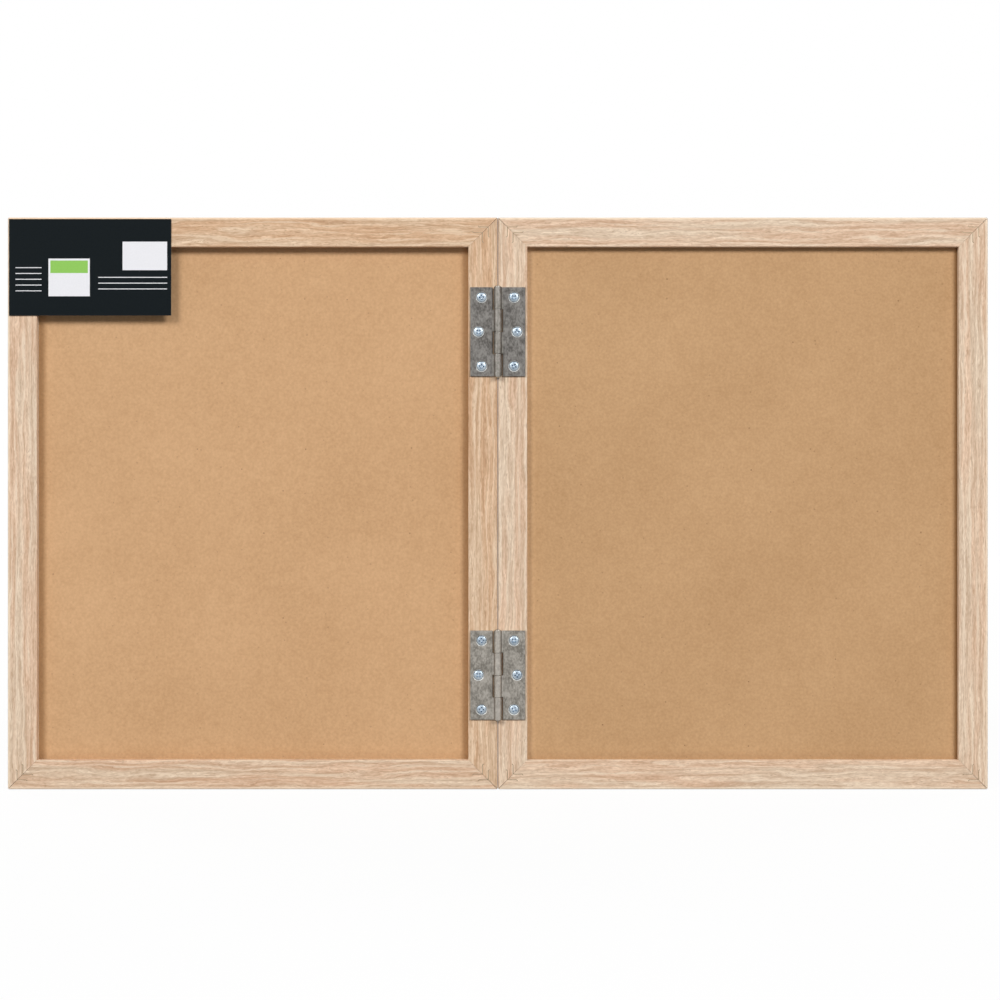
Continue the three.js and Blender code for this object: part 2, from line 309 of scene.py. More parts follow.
# %% [markdown]
# ## Oak-effect foil
#
# The mouldings are not solid oak. They are a core wrapped in printed paper foil: light grain in
# bands a few millimetres wide, finer streaks about a millimetre wide, and a few dark pores. Broad
# tongues of a warmer print lie between paler ones, and cream lines follow the growth rings, now
# clear, now lost. The grain always runs along the length, because the foil is wound off a roll on
# to the moulding, so an upright rail and a level rail need the same print laid in different
# directions.
#
# No line of the print is quite straight. A noise pushes the place sideways before the grain is
# drawn, which bends all the lines together as growth rings bend. On the level rails it pushes
# further.
#
# A matt foil has a roughness near 0.6, and its pores are pressed in by a twentieth of a
# millimetre.
#
# Where the foil is folded over the arris round the pair, it is painted paler, as a painted
# highlight on the edge. In the narrow groove between the two boards it is painted darker, as
# painted shade. Both are found by the way in from the back face added to the way in from the side,
# which counts three times in the groove to keep the line thin.

# %% Oak-effect foil
TONGUE_WIDTH, TONGUE_LENGTH = 5.5 * MM, 110 * MM
BAND_WIDTH, BAND_LENGTH = 1.6 * MM, 70 * MM
STREAK_WIDTH, STREAK_LENGTH = 0.8 * MM, 40 * MM
TOOTH_WIDTH, TOOTH_LENGTH = 0.7 * MM, 3 * MM
RING_SPACING = 4.0 * MM
RING_PART_WIDTH, RING_PART_LENGTH = 3.5 * MM, 40 * MM
RING_SHARE = 0.03
PORE_WIDTH, PORE_LENGTH = 0.22 * MM, 6 * MM
PORE_DEPTH = 0.05 * MM
STREAK_PART, TOOTH_PART = 0.5, 0.26
TONGUE_ENDS = (0.38, 0.62)
LINE_ENDS, LINE_SHADE, LINE_STEPS = (0.5, 0.95), 0.8, 13
CLEAR_ENDS = (0.42, 0.6)
PORE_ENDS, PORE_SHADE, PORE_STEPS = (0.60, 0.72), 0.45, -55
WANDER_WIDTH, WANDER_LENGTH = 8 * MM, 50 * MM
ACROSS = {"X": (0, 0.8, 1), "Z": (1, 0.8, 0)}
PRINT_SHARES = (0.88, 1.03, 1.08)
PRINT_STEPS = ((0.38, -24), (0.48, -6), (0.54, 4), (0.63, 22))
# Reach, share and steps of the painted highlight round the outline, then of the painted shade in
# the seam's groove
PAINTED_EDGE_LIGHT, PAINTED_EDGE_LIGHT_SHADE, PAINTED_EDGE_LIGHT_STEPS = (0.8 * MM, 1.5 * MM), 0.55, 36
GROOVE, GROOVE_SHADE, GROOVE_STEPS = (1.0 * MM, 2.0 * MM), 0.6, -90
GROOVE_WEIGHT = 3


def along_grain(width, length, axis):
    """A blotch size with the long way on one axis."""
    return [length if name == axis else width for name in "XYZ"]


def painted_edge_light_and_painted_shade(tree, place):
    """Two masks: painted highlight round the pair's outline, painted shade along its seam."""
    middle_of_back = (0, back_face, board_top / 2)
    from_middle = add(tree, "VectorMath", {1: middle_of_back}, {0: place}, operation="SUBTRACT")
    away = add(tree, "VectorMath", wires={0: from_middle}, operation="ABSOLUTE")
    half_size = (cad_box[1][0], 0, board_top / 2)
    inset = add(tree, "VectorMath", {0: half_size}, {1: away}, operation="SUBTRACT")
    inset = add(tree, "SeparateXYZ", wires={0: inset}).outputs
    away = add(tree, "SeparateXYZ", wires={0: away}).outputs
    nearest = add(tree, "Math", wires={0: inset["X"], 1: inset["Z"]}, operation="MINIMUM")
    masks = []
    for aside, weight, reach in ((nearest, 1, PAINTED_EDGE_LIGHT), (away["X"], GROOVE_WEIGHT, GROOVE)):
        way_in = add(tree, "Math", {1: weight}, {0: aside, 2: away["Y"]},
                     operation="MULTIPLY_ADD")
        masks.append(add(tree, "MapRange", {1: reach[0], 2: reach[1], 3: 1.0, 4: 0.0},
                         {0: way_in}))
    return masks


def oak_foil(name, axis, tones, wander, shift):
    """Printed oak foil in two tones. Its grain runs along one axis and wanders by so much."""
    material, tree, shader, place = blank_finish(name, Roughness=0.6, Specular_IOR_Level=0.15)
    slow = blotches(tree, place, along_grain(WANDER_WIDTH, WANDER_LENGTH, axis), detail=4.0,
                    shift=shift)
    centred = add(tree, "VectorMath", {1: (0.5, 0.5, 0.5)}, {0: slow.outputs["Color"]},
                  operation="SUBTRACT")
    push = add(tree, "VectorMath", {"Scale": wander}, {0: centred}, operation="SCALE")
    bent = add(tree, "VectorMath", wires={0: place, 1: push}, operation="ADD")

    def print_layer(width, length, detail=1.0):
        return blotches(tree, bent, along_grain(width, length, axis), detail, shift)

    broad = add(tree, "Mix", {0: STREAK_PART}, {
        2: print_layer(BAND_WIDTH, BAND_LENGTH, detail=2.0),
        3: print_layer(STREAK_WIDTH, STREAK_LENGTH),
    })
    toothed = add(tree, "Mix", {0: TOOTH_PART},
                  {2: broad, 3: print_layer(TOOTH_WIDTH, TOOTH_LENGTH)})
    turns = add(tree, "VectorMath",
                {1: [2 * math.pi / RING_SPACING * share for share in ACROSS[axis]]}, {0: bent},
                operation="DOT_PRODUCT").outputs["Value"]
    rings = add(tree, "Math", wires={0: turns}, operation="SINE")
    depth = add(tree, "Math", {1: RING_SHARE}, {0: rings, 2: toothed}, operation="MULTIPLY_ADD")
    warm, pale = [add(tree, "ValToRGB", wires={0: depth}, stops=[
        (end, light_of(tone, steps, PRINT_SHARES)) for end, steps in PRINT_STEPS
    ]) for tone in tones]
    tongues = add(tree, "MapRange", {1: TONGUE_ENDS[0], 2: TONGUE_ENDS[1]},
                  {0: print_layer(TONGUE_WIDTH, TONGUE_LENGTH)})
    colour = add(tree, "Mix", wires={0: tongues, 6: warm, 7: pale}, data_type="RGBA")

    line = add(tree, "MapRange",
               {1: LINE_ENDS[0], 2: LINE_ENDS[1], 3: 0.0, 4: LINE_SHADE}, {0: rings})
    clear = add(tree, "MapRange", {1: CLEAR_ENDS[0], 2: CLEAR_ENDS[1]},
                {0: print_layer(RING_PART_WIDTH, RING_PART_LENGTH)})
    seen_line = add(tree, "Math", wires={0: line, 1: clear}, operation="MULTIPLY")
    colour = add(tree, "Mix", {7: light_of(tones[1], LINE_STEPS, PRINT_SHARES)},
                 {0: seen_line, 6: colour.outputs[2]}, data_type="RGBA")

    pore = add(tree, "MapRange", {1: PORE_ENDS[0], 2: PORE_ENDS[1], 3: 0.0, 4: PORE_SHADE},
               {0: print_layer(PORE_WIDTH, PORE_LENGTH, detail=0.0)})
    colour = add(tree, "Mix", {7: light_of(tones[0], PORE_STEPS)},
                 {0: pore, 6: colour.outputs[2]}, data_type="RGBA")
    painted_edge_light, painted_shade = painted_edge_light_and_painted_shade(tree, place)
    # The outline is painted paler, as a painted highlight, and the seam's groove darker, as
    # painted shade
    for mask, shade, tone, steps in ((painted_edge_light, PAINTED_EDGE_LIGHT_SHADE, tones[1], PAINTED_EDGE_LIGHT_STEPS),
                                     (painted_shade, GROOVE_SHADE, tones[0], GROOVE_STEPS)):
        part = add(tree, "Math", {1: shade}, {0: mask}, operation="MULTIPLY")
        colour = add(tree, "Mix", {7: light_of(tone, steps)},
                     {0: part, 6: colour.outputs[2]}, data_type="RGBA")
    tree.links.new(colour.outputs[2], shader.inputs["Base Color"])
    sunk = add(tree, "Math", {0: 1.0}, {1: pore}, operation="SUBTRACT")
    raised(tree, shader, sunk, PORE_DEPTH)
    return material


# %% Foil on the eight rails
WARM_OAK = ("DAB593", "DCBFA1")
MIDDLE_OAK = ("DDBB9E", "DEC6AC")
PALE_OAK = ("E0C0A4", "E1CAB1")
LEVEL_WANDER = 10 * MM
UPRIGHT_WANDER = 7 * MM
SHIFT_PER_RAIL = (7.3, 3.1, 5.7)

rail_prints = {
    "top_rail": ("X", LEVEL_WANDER),
    "bottom_rail": ("X", LEVEL_WANDER),
    "outer_rail": ("Z", UPRIGHT_WANDER),
    "hinge_rail": ("Z", UPRIGHT_WANDER),
}
rail_tones = {"left_top_rail": WARM_OAK, "left_hinge_rail": WARM_OAK,
              "left_bottom_rail": MIDDLE_OAK}


def dress(node_name, material):
    """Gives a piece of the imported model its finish."""
    slots = nodes[node_name].data.materials
    slots.clear()
    slots.append(material)


number = 0
for side in ("left", "right"):
    for rail, (axis, wander) in rail_prints.items():
        node_name = f"{side}_{rail}"
        tones = rail_tones.get(node_name, PALE_OAK)
        number += 1
        shift = [number * step for step in SHIFT_PER_RAIL]
        dress(node_name, oak_foil(f"oak_effect_foil_{node_name}", axis, tones, wander, shift))
print("foil on", number, "rails")

# %% [markdown]
# ## Brown fibreboard
#
# The backing panels are thin wet-laid fibreboard, like the back of most cheap frames. Its face is
# matt and nearly even: a soft mottle as wide as a hand, a fine fibre texture, and here and there
# a dark fleck of bark. The two panels come from different batches, and the left one is paler.
#
# A fleck is a small disc round each seed of a flat Voronoi pattern. Each cell also has a random
# colour. Its red says how large the fleck is, if there is one, and its green how dark.
#
# A narrow border along the mouldings is painted darker and browner, as painted shade in the corner
# between a panel and its mouldings. Each panel has a darker painted line on its right, as painted
# shade, which is narrow and nearly black on the right board. That board's left border is painted
# lighter, as painted light.

# %% Brown fibreboard
MOTTLE = 75 * MM
CLOUD = 9 * MM
FIBRE = 1.5 * MM
FIBRE_RELIEF = 0.06 * MM
CLOUD_PART, FIBRE_PART = 0.35, 0.5
BOARD_STEPS = 12
FLECK_SPACING = 13 * MM
FLECK_RADIUS = 0.55 * MM
FLECK_STEPS = -85
FLECK_FROM_RED = 0.3
DARKER_FROM_GREEN = 0.8
PALE_FLECK, DARK_FLECK = 0.25, 0.6
# An amber tint for the painted shade along the sides of the panels
PAINTED_SHADE_TINT = "FFD86F"
# How wide the painted shade is along each side of each panel, and what share of the colour it
# takes; below nought it paints light
BORDERS = {"left": {"left": (7 * MM, 0.20), "right": (5 * MM, 0.27), "lower": (7 * MM, 0.16),
                    "upper": (6 * MM, 0.16)},
           "right": {"left": (6 * MM, -0.22), "right": (2.4 * MM, 0.62), "lower": (7 * MM, 0.16),
                     "upper": (4 * MM, 0.16)}}


def unshadedness(tree, place, board, borders):
    """Share of colour kept under the borders' painted shade: one away from the mouldings."""
    rails = {"left": "outer_rail", "right": "hinge_rail"}
    if board == "right":
        rails = {"left": "hinge_rail", "right": "outer_rail"}
    low = (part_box(f"{board}_{rails['left']}")[1].x, 0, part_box(f"{board}_bottom_rail")[1].z)
    high = (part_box(f"{board}_{rails['right']}")[0].x, 0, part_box(f"{board}_top_rail")[0].z)
    from_low = add(tree, "VectorMath", {1: low}, {0: place}, operation="SUBTRACT")
    from_high = add(tree, "VectorMath", {0: high}, {1: place}, operation="SUBTRACT")
    level = None
    for corner, names in ((from_low, {"X": "left", "Z": "lower"}),
                          (from_high, {"X": "right", "Z": "upper"})):
        ways = add(tree, "SeparateXYZ", wires={0: corner}).outputs
        for axis, border in names.items():
            if border not in borders:
                continue
            width, shade = BORDERS[board][border]
            unshaded = add(tree, "MapRange", {1: 0.0, 2: width, 3: 1 - shade, 4: 1.0},
                        {0: ways[axis]}, interpolation_type="SMOOTHSTEP")
            level = unshaded if level is None else add(
                tree, "Math", wires={0: level, 1: unshaded}, operation="MULTIPLY")
    return level


def fibreboard(name, board, middle_colour, shift):
    """Matt brown board with a mottle, fine fibres, a few dark flecks and a border of painted
    shade.
    """
    material, tree, shader, place = blank_finish(name, Roughness=0.75)
    mottle = blotches(tree, place, [MOTTLE] * 3, shift=shift)
    clouds = blotches(tree, place, [CLOUD] * 3, detail=3.0, shift=shift)
    fibres = blotches(tree, place, [FIBRE] * 3, detail=3.0, shift=shift)
    slow = add(tree, "Mix", {0: CLOUD_PART}, {2: mottle, 3: clouds})
    tone = add(tree, "Mix", {0: FIBRE_PART}, {2: slow, 3: fibres})
    colour = add(tree, "ValToRGB", wires={0: tone}, stops=[
        (NOISE_LOW, light_of(middle_colour, -BOARD_STEPS)),
        (NOISE_HIGH, light_of(middle_colour, BOARD_STEPS)),
    ])

    flat = add(tree, "Mapping", {"Rotation": (math.pi / 2, 0, 0)}, {"Vector": place})
    cells = add(tree, "TexVoronoi", {"Scale": 1 / FLECK_SPACING},
                {"Vector": flat}, voronoi_dimensions="2D").outputs
    kept = add(tree, "SeparateColor", wires={0: cells["Color"]}).outputs
    reach = add(tree, "MapRange", {1: FLECK_FROM_RED, 2: 1.0, 3: 0.0,
                                   4: FLECK_RADIUS / FLECK_SPACING}, {0: kept[0]})
    dark = add(tree, "MapRange", {1: DARKER_FROM_GREEN, 2: 1.0, 3: PALE_FLECK,
                                  4: DARK_FLECK}, {0: kept[1]})
    fleck = add(tree, "Math", wires={0: cells["Distance"], 1: reach}, operation="LESS_THAN")
    soft_fleck = add(tree, "Math", wires={0: fleck, 1: dark}, operation="MULTIPLY")
    flecked = add(tree, "Mix", {7: light_of(middle_colour, FLECK_STEPS)},
                  {0: soft_fleck, 6: colour}, data_type="RGBA")
    # Painted shade: the side borders are darkened and tinted amber, the lower and upper ones only
    # darkened
    sides = unshadedness(tree, place, board, ("left", "right"))
    ends = unshadedness(tree, place, board, ("lower", "upper"))
    shade_amount = add(tree, "Math", {0: 1.0}, {1: sides}, operation="SUBTRACT")
    shade_tinted = add(tree, "Mix", {7: light_of(PAINTED_SHADE_TINT)}, {0: shade_amount, 6: flecked.outputs[2]},
                  data_type="RGBA", blend_type="MULTIPLY", clamp_factor=False)
    kept_share = add(tree, "Math", wires={0: sides, 1: ends}, operation="MULTIPLY")
    painted_shade = add(tree, "VectorMath",
                wires={0: shade_tinted.outputs[2], "Scale": kept_share}, operation="SCALE")
    tree.links.new(painted_shade.outputs[0], shader.inputs["Base Color"])
    raised(tree, shader, fibres, FIBRE_RELIEF, strength=0.5)
    return material


dress("left_backing_board", fibreboard("fibreboard_pale", "left", "CBA074", shift=(3, 1, 2)))
dress("right_backing_board", fibreboard("fibreboard_dark", "right", "C0976B", shift=(11, 5, 7)))
print("two panels of fibreboard")

# %% [markdown]
# ## Metals
#
# The hinge leaves are rolled mild steel with a thin dull plating: a dark grey mirror gone cloudy,
# with a mottle about a millimetre wide on clouds of five. The lower hinge's steels are painted
# lighter, as painted reflection. The knuckles are painted a little brighter, as a painted
# highlight on the barrel, and the countersinks show cut steel painted lighter still, as a painted
# highlight on their ring. The screws are bright zinc with its blue cast. The walls of their recess
# are painted darker, as painted shade, and its floor lighter, as a painted highlight. The V-nails
# are bare strip, seen only as the top edge of each bend.
#
# A metal's colour is in its reflections, and its roughness says how sharp they are: about 0.4 for
# the rolled sheet and the zinc, 0.5 and more where the surface is cut or matt.

# %% Metals
CLOUDED, CLOUDED_PART = 5 * MM, 0.45
PLATING_ENDS = (0.38, 0.62)
ROUGHNESS_SWING = 0.08
METAL_RELIEF = 0.01 * MM


def mottled_metal(name, dark, bright, size, rough, metallic=1.0):
    """Metal with a cloudy plating: patches of this size along X, Y and Z, on slower clouds."""
    material, tree, shader, place = blank_finish(name, Metallic=metallic)
    patches = add(tree, "Mix", {0: CLOUDED_PART}, {
        2: blotches(tree, place, size, detail=3.0),
        3: blotches(tree, place, [CLOUDED] * 3)})
    two_toned(tree, shader, patches, light_of(dark), light_of(bright), PLATING_ENDS)
    dullness = add(tree, "MapRange", {
        1: NOISE_LOW, 2: NOISE_HIGH, 3: rough + ROUGHNESS_SWING, 4: rough - ROUGHNESS_SWING,
    }, {0: patches})
    tree.links.new(dullness.outputs[0], shader.inputs["Roughness"])
    raised(tree, shader, patches, METAL_RELIEF, strength=0.6)
    return material


ROLLED = (1.0 * MM, 1.0 * MM, 1.6 * MM)
EVEN = (0.9 * MM, 0.9 * MM, 0.9 * MM)
# The lower hinge's steels are lighter copies of the upper ones, painted lighter as painted
# reflection
hinge_steels = {
    "upper": mottled_metal("dull_plated_steel", "524F4C", "827F7B", ROLLED, rough=0.42),
    "lower": mottled_metal("plated_steel_painted_lighter", "6C6861", "A19C94", ROLLED, rough=0.42),
}
# The knuckles are painted brighter than the leaves, as a painted highlight on the curve of the
# barrel
knuckle_finishes_painted_highlight = {
    "upper": mottled_metal("knuckle_steel_painted_highlight", "6E6A64", "94908A", ROLLED, rough=0.38),
    "lower": mottled_metal("paler_knuckle_steel_painted_highlight", "8E8982", "B0AAA1", ROLLED, rough=0.38),
}
pin_steel = mottled_metal("drawn_steel_wire", "8E8A83", "BEB9B0", EVEN, rough=0.35)
bright_zinc = mottled_metal("bright_zinc", "8794A0", "B2BDC6", EVEN, rough=0.36)
# The countersinks are cut steel, painted lighter still as a painted highlight on their ring
cut_steel = mottled_metal("countersink_steel_painted_highlight", "A3A5A4", "C9CBCA", EVEN, rough=0.42, metallic=0.6)
# The recess walls are painted darker, as painted shade, and the recess floor lighter, as a painted
# highlight
recess_wall_painted_shade = mottled_metal("zinc_painted_darker_as_recess_shade", "7A8FA3", "9BB0C4", EVEN, rough=0.5)
recess_floor_painted_highlight = mottled_metal("zinc_painted_lighter_as_recess_highlight", "B9C8D5", "DAE7F1", EVEN, rough=0.5)
nail_steel = mottled_metal("nail_strip_steel", "9C876F", "B5A188", EVEN, rough=0.55)

for node_name in nodes:
    if "_v_nail_" in node_name:
        dress(node_name, nail_steel)
print("V-nails dressed:", sum("_v_nail_" in n for n in nodes))

# %% [markdown]
# ## Panels of the fronts
#
# The writing surface is a white melamine laminate: smooth, glossy, very slightly rippled, with an
# IOR of 1.5. Behind it lies grey paper board. Behind the linen lies a soft insulating board that
# pins go into. The inner boards hardly show, but a finish still tells them apart when the part is
# taken to pieces.

# %% Inner boards and the writing surface
RIPPLE, RIPPLE_HEIGHT = 6 * MM, 0.01 * MM
HAZE = 40 * MM
GLOSS_ENDS = (0.12, 0.15)


def plain_board(name, colour, size, relief, steps=(-10, 8), detail=4.0, strength=1.0, **numbers):
    """A board in one colour, with blotches of one size and relief."""
    material, tree, shader, place = blank_finish(name, **numbers)
    grain = blotches(tree, place, [size] * 3, detail)
    two_toned(tree, shader, grain, light_of(colour, steps[0]), light_of(colour, steps[1]))
    raised(tree, shader, grain, relief, strength)
    return material


def laminate():
    """Glossy white melamine with a faint ripple."""
    material, tree, shader, place = blank_finish("white_dry_erase_laminate", IOR=1.5)
    haze = blotches(tree, place, [HAZE] * 3, detail=3.0)
    two_toned(tree, shader, haze, light_of("EEEFEE"), light_of("F1F2F1"))
    gloss = add(tree, "MapRange",
                {1: NOISE_LOW, 2: NOISE_HIGH, 3: GLOSS_ENDS[0], 4: GLOSS_ENDS[1]}, {0: haze})
    tree.links.new(gloss.outputs[0], shader.inputs["Roughness"])
    ripple = blotches(tree, place, [RIPPLE] * 3, detail=1.0)
    raised(tree, shader, ripple, RIPPLE_HEIGHT, strength=0.5)
    return material


dress("dry_erase_stiffener",
      plain_board("greyboard", "9C968C", 1.4 * MM, 0.05 * MM, Roughness=0.9))
dress("pin_softboard",
      plain_board("soft_fibre_insulating_board", "B08D64", 2.2 * MM, 0.2 * MM, Roughness=0.95))
dress("dry_erase_sheet", laminate())
print("writing surface and inner boards dressed")

# %% [markdown]
# ## Working by hand, in code
#
# From here on, new pieces are modelled. The tools are the ones a hand would use in edit mode: add
# a primitive, pick some faces, extrude, inset, scale, spin. An operator works on whatever is
# selected, so every step first selects exactly what it needs, by place or by the way a face
# looks.

# %% Selecting and finishing
FACING = 0.9
DOUBLED = 0.001 * MM


def alone(piece):
    """Leaves one object selected and active."""
    for other in list(bpy.context.selected_objects):
        other.select_set(False)
    piece.select_set(True)
    bpy.context.view_layer.objects.active = piece
    return piece


def fresh(name):
    """Names the primitive that was just added, selects it alone and applies its place."""
    piece = alone(bpy.context.object)
    piece.name = name
    bpy.ops.object.transform_apply(location=True, rotation=True, scale=True)
    return piece


@contextmanager
def editing():
    """Edit mode, for as long as the lines inside take."""
    bpy.ops.object.mode_set(mode="EDIT")
    yield
    bpy.ops.object.mode_set(mode="OBJECT")


def pick_faces(test):
    """In edit mode, selects the faces whose middle and normal pass a test."""
    mesh = bmesh.from_edit_mesh(bpy.context.object.data)
    bpy.ops.mesh.select_mode(type="FACE")
    bpy.ops.mesh.select_all(action="DESELECT")
    chosen = [f for f in mesh.faces if test(f.calc_center_median(), f.normal)]
    for face in chosen:
        face.select_set(True)
    bmesh.update_edit_mesh(bpy.context.object.data)
    return len(chosen)


def extrude(way, scale=None):
    """Extrudes what is selected along a way, then scales the new end about the piece's middle."""
    bpy.ops.mesh.extrude_region_move(TRANSFORM_OT_translate={"value": way})
    if scale is not None:
        bpy.ops.transform.resize(value=scale, center_override=(0, 0, 0))


def apply_all(piece):
    """Applies the object's place and every modifier, in order."""
    alone(piece)
    bpy.ops.object.transform_apply(location=True, rotation=True, scale=True)
    for modifier in list(piece.modifiers):
        bpy.ops.object.modifier_apply(modifier=modifier.name)
    return piece


def cut(piece, cutter, operation="DIFFERENCE"):
    """Cuts one closed piece with another, or joins them."""
    modifier = piece.modifiers.new("cut", "BOOLEAN")
    modifier.operation = operation
    modifier.solver = "EXACT"
    modifier.object = cutter
    apply_all(piece)


def soften(piece, width, segments=2, angle=35):
    """Rounds the edges a little and shades the curves smooth, with the wide faces kept flat."""
    bevel = piece.modifiers.new("softened edges", "BEVEL")
    bevel.width = width
    bevel.segments = segments
    bevel.limit_method = "ANGLE"
    bevel.angle_limit = math.radians(angle)
    apply_all(piece)
    bpy.ops.object.shade_smooth_by_angle(angle=math.radians(angle))
    even = piece.modifiers.new("flat wide faces", "WEIGHTED_NORMAL")
    even.keep_sharp = True
    apply_all(piece)


def closed(piece):
    """Merges doubled points, turns every face outwards and says whether the skin is closed."""
    alone(piece)
    with editing():
        bpy.ops.mesh.select_all(action="SELECT")
        bpy.ops.mesh.remove_doubles(threshold=DOUBLED)
        bpy.ops.mesh.normals_make_consistent(inside=False)
    mesh = bmesh.new()
    mesh.from_mesh(piece.data)
    open_edges = sum(len(edge.link_faces) != 2 for edge in mesh.edges)
    volume = mesh.calc_volume(signed=True) / MM**3
    mesh.free()
    print(f"{piece.name}: {len(piece.data.polygons)} faces, {open_edges} open edges,"
          f" {volume:.2f} mm3")
    return piece


def copy_of(piece, name, place):
    """A copy with its own mesh, put in its place."""
    twin = piece.copy()
    twin.data = piece.data.copy()
    twin.name = name
    twin.data.transform(place)
    bpy.context.scene.collection.objects.link(twin)
    return twin


def stands_for(piece, node_name):
    """Puts a new piece on the body of the node that it replaces, and hides that node."""
    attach(piece, nodes[node_name]["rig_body"])
    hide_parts(node_name)


# %% [markdown]
# ## Hinge leaves
#
# A pressed butt hinge is cut from steel strip. One edge is rolled into knuckles that wrap the
# pin, and between them the strip is cut back to let the other leaf's knuckles in. It could be
# modelled as a plate with tubes stuck on, but then the roll would have no thickness and no slit
# where the strip ends. Instead the strip's own edge is spun round the pin, as the press does it.
#
# The leaf is drawn round its own hinge axis: x runs out along the leaf, y towards the board and z
# up. The left leaf is the same piece turned over.

# %% Sizes of a leaf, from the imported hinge
leaf_low, leaf_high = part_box("upper_hinge_right_leaf")
pin_low, pin_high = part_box("upper_hinge_pin")
axis_y = (pin_low.y + pin_high.y) / 2
leaf_height = leaf_high.z - leaf_low.z
leaf_width = leaf_high.x
barrel_radius = leaf_high.y - axis_y

STRIP = 1.0 * MM
NOTCH_GAP = 0.8 * MM
KNUCKLES = 4
KNUCKLE_GAP = 0.3 * MM
CURL_DEGREES = 300
CURL_STEPS = 36
SHEARED_EDGE = 0.14 * MM
BARREL_MARGIN = 1.05

pitch = leaf_height / KNUCKLES
notch_edge = barrel_radius + NOTCH_GAP
strip_face = barrel_radius - STRIP
own_knuckles = [
    (leaf_height / 2 - pitch + KNUCKLE_GAP / 2, leaf_height / 2),
    (leaf_height / 2 - 3 * pitch + KNUCKLE_GAP / 2, leaf_height / 2 - 2 * pitch - KNUCKLE_GAP / 2),
]
print("leaf", round(leaf_width / MM, 1), "x", round(leaf_height / MM, 1), "mm")

# %% The plate, with its edge rolled into two knuckles
bpy.ops.mesh.primitive_cube_add(
    size=1,
    location=((notch_edge + leaf_width) / 2, strip_face + STRIP / 2, 0),
    scale=(leaf_width - notch_edge, STRIP, leaf_height),
)
leaf = fresh("leaf_pattern")
with editing():
    for low, high in own_knuckles:
        for height in (low, high):
            if height < leaf_height / 2:
                bpy.ops.mesh.select_all(action="SELECT")
                bpy.ops.mesh.bisect(plane_co=(0, 0, height), plane_no=(0, 0, 1))
    rolled = pick_faces(lambda middle, normal: normal.x < -FACING
                        and any(low < middle.z < high for low, high in own_knuckles))
    extrude((-notch_edge, 0, 0))
    bpy.ops.mesh.spin(steps=CURL_STEPS, angle=math.radians(CURL_DEGREES), center=(0, 0, 0),
                      axis=(0, 0, 1))
print("knuckles rolled:", rolled)
closed(leaf)

# %% Countersunk holes
SCREW_SHARES = ((0.59, 0.387), (0.70, 0.0), (0.59, -0.387))
SINK_RADIUS = 3.4 * MM
SINK_THROAT = 1.75 * MM
FLAT_FACE = 0.95
OVERRUN = 1 * MM
screw_places = [(across * leaf_width, up * leaf_height) for across, up in SCREW_SHARES]
sink_depth = SINK_RADIUS - SINK_THROAT

for across, up in screw_places:
    bpy.ops.mesh.primitive_cone_add(
        vertices=48,
        radius1=SINK_RADIUS + OVERRUN,
        radius2=SINK_THROAT,
        depth=sink_depth + OVERRUN,
        location=(across, strip_face + (sink_depth - OVERRUN) / 2, up),
        rotation=(-math.pi / 2, 0, 0),
    )
    cutter = bpy.context.object
    cut(leaf, cutter)
    bpy.data.objects.remove(cutter)
closed(leaf)
soften(leaf, SHEARED_EDGE)

# Countersink faces take the steel painted lighter, and faces rolled round the pin the knuckle
# steel painted brighter, both as painted highlight
bare = 0
for face in leaf.data.polygons:
    middle = face.center
    sunk = abs(face.normal.y) < FLAT_FACE and any(
        math.hypot(middle.x - across, middle.z - up) < SINK_RADIUS for across, up in screw_places)
    rolled_over = math.hypot(middle.x, middle.y) < BARREL_MARGIN * barrel_radius
    face.material_index = 1 if sunk else 2 if rolled_over else 0
    bare += sunk
print("faces in the countersinks:", bare)

# %% Four leaves in place
hinges = ("upper", "lower")
turned_over = Matrix.Rotation(math.pi, 4, "Y")


def hinge_middle(hinge):
    """The middle of a hinge on its axis."""
    low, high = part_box(f"{hinge}_hinge_pin")
    return (low + high) / 2


for hinge in hinges:
    for side in ("left", "right"):
        turn = turned_over if side == "left" else Matrix.Identity(4)
        node_name = f"{hinge}_hinge_{side}_leaf"
        place = Matrix.Translation(hinge_middle(hinge)) @ turn
        rolled_leaf = copy_of(leaf, f"rolled_{node_name}", place)
        for finish in (hinge_steels[hinge], cut_steel, knuckle_finishes_painted_highlight[hinge]):
            rolled_leaf.data.materials.append(finish)
        stands_for(rolled_leaf, node_name)
bpy.data.objects.remove(leaf)
print("four leaves in place")

# %% [markdown]
# ## Hinge pins
#
# A pin is drawn wire with a peened head at each end, so that it cannot slide out. It starts as a
# cylinder. Each end face is widened into a shoulder and then drawn in over a few steps to a dome.

# %% The pin
PIN_RADIUS = 1.3 * MM
HEAD_RADIUS = 1.8 * MM
HEAD_HEIGHT = 0.8 * MM
DOME_ANGLE = math.radians(80)
DOME_STEPS = 5
DRAWN_EDGE = 0.05 * MM
HEAD_MARGIN = 1.01
pin_height = pin_high.z - pin_low.z

bpy.ops.mesh.primitive_cylinder_add(vertices=40, radius=PIN_RADIUS,
                                    depth=pin_height - 2 * HEAD_HEIGHT)
pin = fresh("pin_pattern")
with editing():
    for end in (1, -1):
        pick_faces(lambda middle, normal: normal.z * end > FACING
                   and middle.z * end > pin_height / 2 - HEAD_MARGIN * HEAD_HEIGHT)
        widen = HEAD_RADIUS / PIN_RADIUS
        extrude((0, 0, 0), (widen, widen, 1))
        share = 1.0
        for step in range(1, DOME_STEPS + 1):
            angle = step / DOME_STEPS * DOME_ANGLE
            rise = HEAD_HEIGHT * (math.sin(angle) - math.sin(angle - DOME_ANGLE / DOME_STEPS))
            narrow = math.cos(angle) / share
            share = math.cos(angle)
            extrude((0, 0, end * rise), (narrow, narrow, 1))
closed(pin)
soften(pin, DRAWN_EDGE)
pin.data.materials.append(pin_steel)

